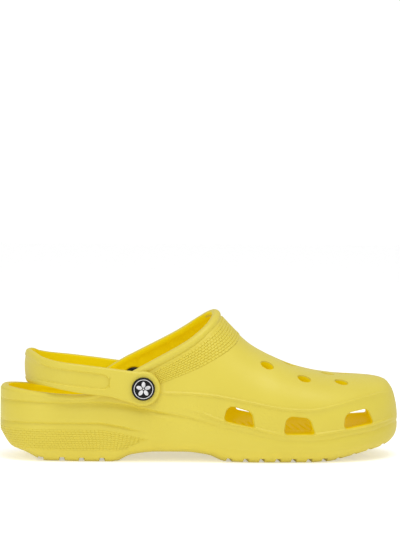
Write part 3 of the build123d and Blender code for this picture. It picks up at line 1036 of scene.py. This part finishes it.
def rivet_piece(made, side, distance, name, materials):
    """Puts a rivet's piece on the pivot, facing out on its side."""
    bmesh.ops.recalc_face_normals(made, faces=made.faces)
    place = Matrix.Translation((PIVOT_X, side * distance, PIVOT_Z))
    place = place @ Matrix.Rotation(-side * math.pi / 2, 4, "X")
    bmesh.ops.transform(made, matrix=place, verts=made.verts)
    piece = solid(made, name)
    piece.data.shade_smooth()
    piece.data.set_sharp_from_angle(angle=math.radians(35))
    for material in materials:
        piece.data.materials.append(material)
    return piece


def satin_moulding():
    """Fine scratches and unevenness of a satin plastic moulding, as roughness and a bump's height."""
    group = bpy.data.node_groups.new("satin moulding", "ShaderNodeTree")
    socket(group, "Plastic", "NodeSocketColor", (0.01, 0.01, 0.01, 1))
    socket(group, "Color", "NodeSocketColor", out=True)
    socket(group, "Roughness", "NodeSocketFloat", out=True)
    socket(group, "Height", "NodeSocketFloat", out=True)
    enter = node(group, "NodeGroupInput", (-700, 0))
    leave = node(group, "NodeGroupOutput", (400, 0))
    place = node(group, "ShaderNodeTexCoord", (-700, -200))
    grain = node(group, "ShaderNodeTexNoise", (-450, -200), {"Scale": 1400.0, "Detail": 2.0})
    smears = node(group, "ShaderNodeTexNoise", (-450, 150), {"Scale": 160.0, "Detail": 4.0})
    for texture in (grain, smears):
        link(group, place, "Object", texture, "Vector")
    dusty = node(group, "ShaderNodeMix", (50, 200), data_type="RGBA")
    dusty.inputs["B"].default_value = (0.05, 0.05, 0.052, 1)
    share = node(group, "ShaderNodeMapRange", (-200, 250), span(0.5, 0.8, 0.0, 0.4))
    link(group, smears, "Fac", share, "Value")
    link(group, share, "Result", dusty, "Factor")
    link(group, enter, "Plastic", dusty, "A")
    link(group, dusty, "Result", leave, "Color")
    rough = node(group, "ShaderNodeMapRange", (-200, 0), span(0.0, 1.0, 0.24, 0.46))
    link(group, smears, "Fac", rough, "Value")
    link(group, rough, "Result", leave, "Roughness")
    link(group, grain, "Fac", leave, "Height")
    return group


SATIN = satin_moulding()


def rivet_material(name, colour, metallic=0.0):
    """Satin plastic of one colour, or print on it."""
    made, tree, surface = new_material(name)
    set_inputs(surface, {"Metallic": metallic, "Specular IOR Level": 0.15})
    satin = node(tree, "ShaderNodeGroup", (-500, 0), node_tree=SATIN)
    satin.inputs["Plastic"].default_value = colour
    bump = node(tree, "ShaderNodeBump", (-250, -200), {"Strength": 0.15, "Distance": 0.0001})
    link(tree, satin, "Color", surface, "Base Color")
    link(tree, satin, "Roughness", surface, "Roughness")
    link(tree, satin, "Height", bump, "Height")
    link(tree, bump, "Normal", surface, "Normal")
    return made


rivet_black = rivet_material("rivet black", (0.008, 0.008, 0.009, 1))
badge_black = rivet_material("badge black", (0.006, 0.006, 0.007, 1))
badge_silver = rivet_material("badge silver", (0.8, 0.8, 0.82, 1), 0.15)

for side_name, side in (("lateral", LATERAL), ("medial", MEDIAL)):
    head = bmesh.new()
    turned(head, HEAD_PROFILE)
    head = rivet_piece(head, side, HEAD_INNER, f"{side_name}_rivet_head_moulding", [rivet_black])

    badge = bmesh.new()
    turned(badge, BADGE_PROFILE)
    plain = len(badge.faces)
    turned(badge, RING_PROFILE, closed=True)
    for k in range(PETALS):
        turn = Matrix.Rotation(2 * math.pi * k / PETALS + math.pi / 2, 4, "Z")
        petal = turn @ Matrix.Translation((PETAL_REACH, 0, PRINT_HEIGHT)) @ Matrix.Diagonal(PETAL_SHAPE)
        bmesh.ops.create_cone(
            badge, cap_ends=True, segments=24, radius1=1, radius2=0.9, depth=0.14, matrix=petal
        )
    middle = Matrix.Translation((0, 0, PRINT_HEIGHT))
    bmesh.ops.create_cone(
        badge, cap_ends=True, segments=20, radius1=0.6, radius2=0.5, depth=0.16, matrix=middle
    )
    badge.faces.ensure_lookup_table()
    for face in badge.faces[plain:]:
        face.material_index = 1
    badge_name = f"{side_name}_rivet_badge_print"
    badge = rivet_piece(badge, side, HEAD_INNER, badge_name, [badge_black, badge_silver])

    cap = bmesh.new()
    turned(cap, CAP_PROFILE)
    cap = rivet_piece(cap, side, CAP_INNER, f"{side_name}_rivet_cap_moulding", [rivet_black])

    for piece, part, finish in (
        (head, "head", "rivet_plastic"),
        (badge, "badge", "badge_print"),
        (cap, "cap", "rivet_plastic"),
    ):
        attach(piece, f"{side_name}_rivet")
        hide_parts(f"{side_name}_rivet_{part}")

# The studio: a white sweep, one large soft key light above and a fill from the camera's side.
floor_mesh = bmesh.new()
bmesh.ops.create_grid(floor_mesh, x_segments=1, y_segments=1, size=6000)
floor = solid(floor_mesh, "floor")
white, paper, surface = new_material("white_floor")
set_inputs(surface, {"Base Color": (0.92, 0.92, 0.92, 1), "Roughness": 0.7, "Emission Color": (1, 1, 1, 1)})
# The paper is lifted a little more where it is seen than where it lights the foam.
seen = node(paper, "ShaderNodeLightPath", (-500, -200))
lift = node(paper, "ShaderNodeMath", (-250, -200), {1: 0.2, 2: 0.22}, operation="MULTIPLY_ADD")
link(paper, seen, "Is Camera Ray", lift, 0)
link(paper, lift, "Value", surface, "Emission Strength")
floor.data.materials.append(white)

world = bpy.data.worlds.new("studio")
world.use_nodes = True
sky = world.node_tree
lit = sky.nodes["Background"]
set_inputs(lit, {"Color": (1, 1, 1, 1), "Strength": 0.62})
backdrop = node(sky, "ShaderNodeBackground", (0, -200), {"Color": (1, 1, 1, 1), "Strength": 1.05})
path = node(sky, "ShaderNodeLightPath", (0, 300))
choice = node(sky, "ShaderNodeMixShader", (250, 0))
link(sky, path, "Is Camera Ray", choice, "Fac")
link(sky, lit, "Background", choice, 1)
link(sky, backdrop, "Background", choice, 2)
sky.links.new(choice.outputs["Shader"], sky.nodes["World Output"].inputs["Surface"])
bpy.context.scene.world = world


def soft_light(name, spot, aim, size, power):
    """A round soft lamp. Places and size are in metres."""
    lamp = bpy.data.lights.new(name, "AREA")
    lamp.shape = "DISK"
    lamp.size = size
    lamp.energy = power
    thing = bpy.data.objects.new(name, lamp)
    thing.location = spot
    thing.rotation_euler = (Vector(aim) - Vector(spot)).to_track_quat("-Z", "Y").to_euler()
    bpy.context.scene.collection.objects.link(thing)


soft_light("key", (0.1, -0.5, 1.4), (0.0, 0.0, 0.05), 0.9, 8.6)
soft_light("fill", (-0.9, -1.2, 0.5), (-0.05, 0.0, 0.05), 0.8, 2.4)

# The camera: long lens, a little above the floor and a little towards the heel.
AZIMUTH = math.radians(-6.0)
ELEVATION = math.radians(5.4)
ROLL = math.radians(0.5)
PITCH_UP = math.radians(3.294)
DISTANCE = 1500
LENS = 138.7
SENSOR = 36.0
centre = Vector((-1.0, 0, 51.2))
back = Vector(
    (
        math.sin(AZIMUTH) * math.cos(ELEVATION),
        -math.cos(AZIMUTH) * math.cos(ELEVATION),
        math.sin(ELEVATION),
    )
)
camera_data = bpy.data.cameras.new("camera")
camera_data.lens = LENS
camera_data.sensor_width = SENSOR
camera = bpy.data.objects.new("camera", camera_data)
camera.location = (centre + back * DISTANCE) * MM
aim = (-back).to_track_quat("-Z", "Y")
camera.rotation_mode = "QUATERNION"
tilt = Matrix.Rotation(PITCH_UP, 4, "X") @ Matrix.Rotation(ROLL, 4, "Z")
camera.rotation_quaternion = aim @ tilt.to_quaternion()
bpy.context.scene.collection.objects.link(camera)
bpy.context.scene.camera = camera
bpy.context.scene.view_settings.view_transform = "Standard"
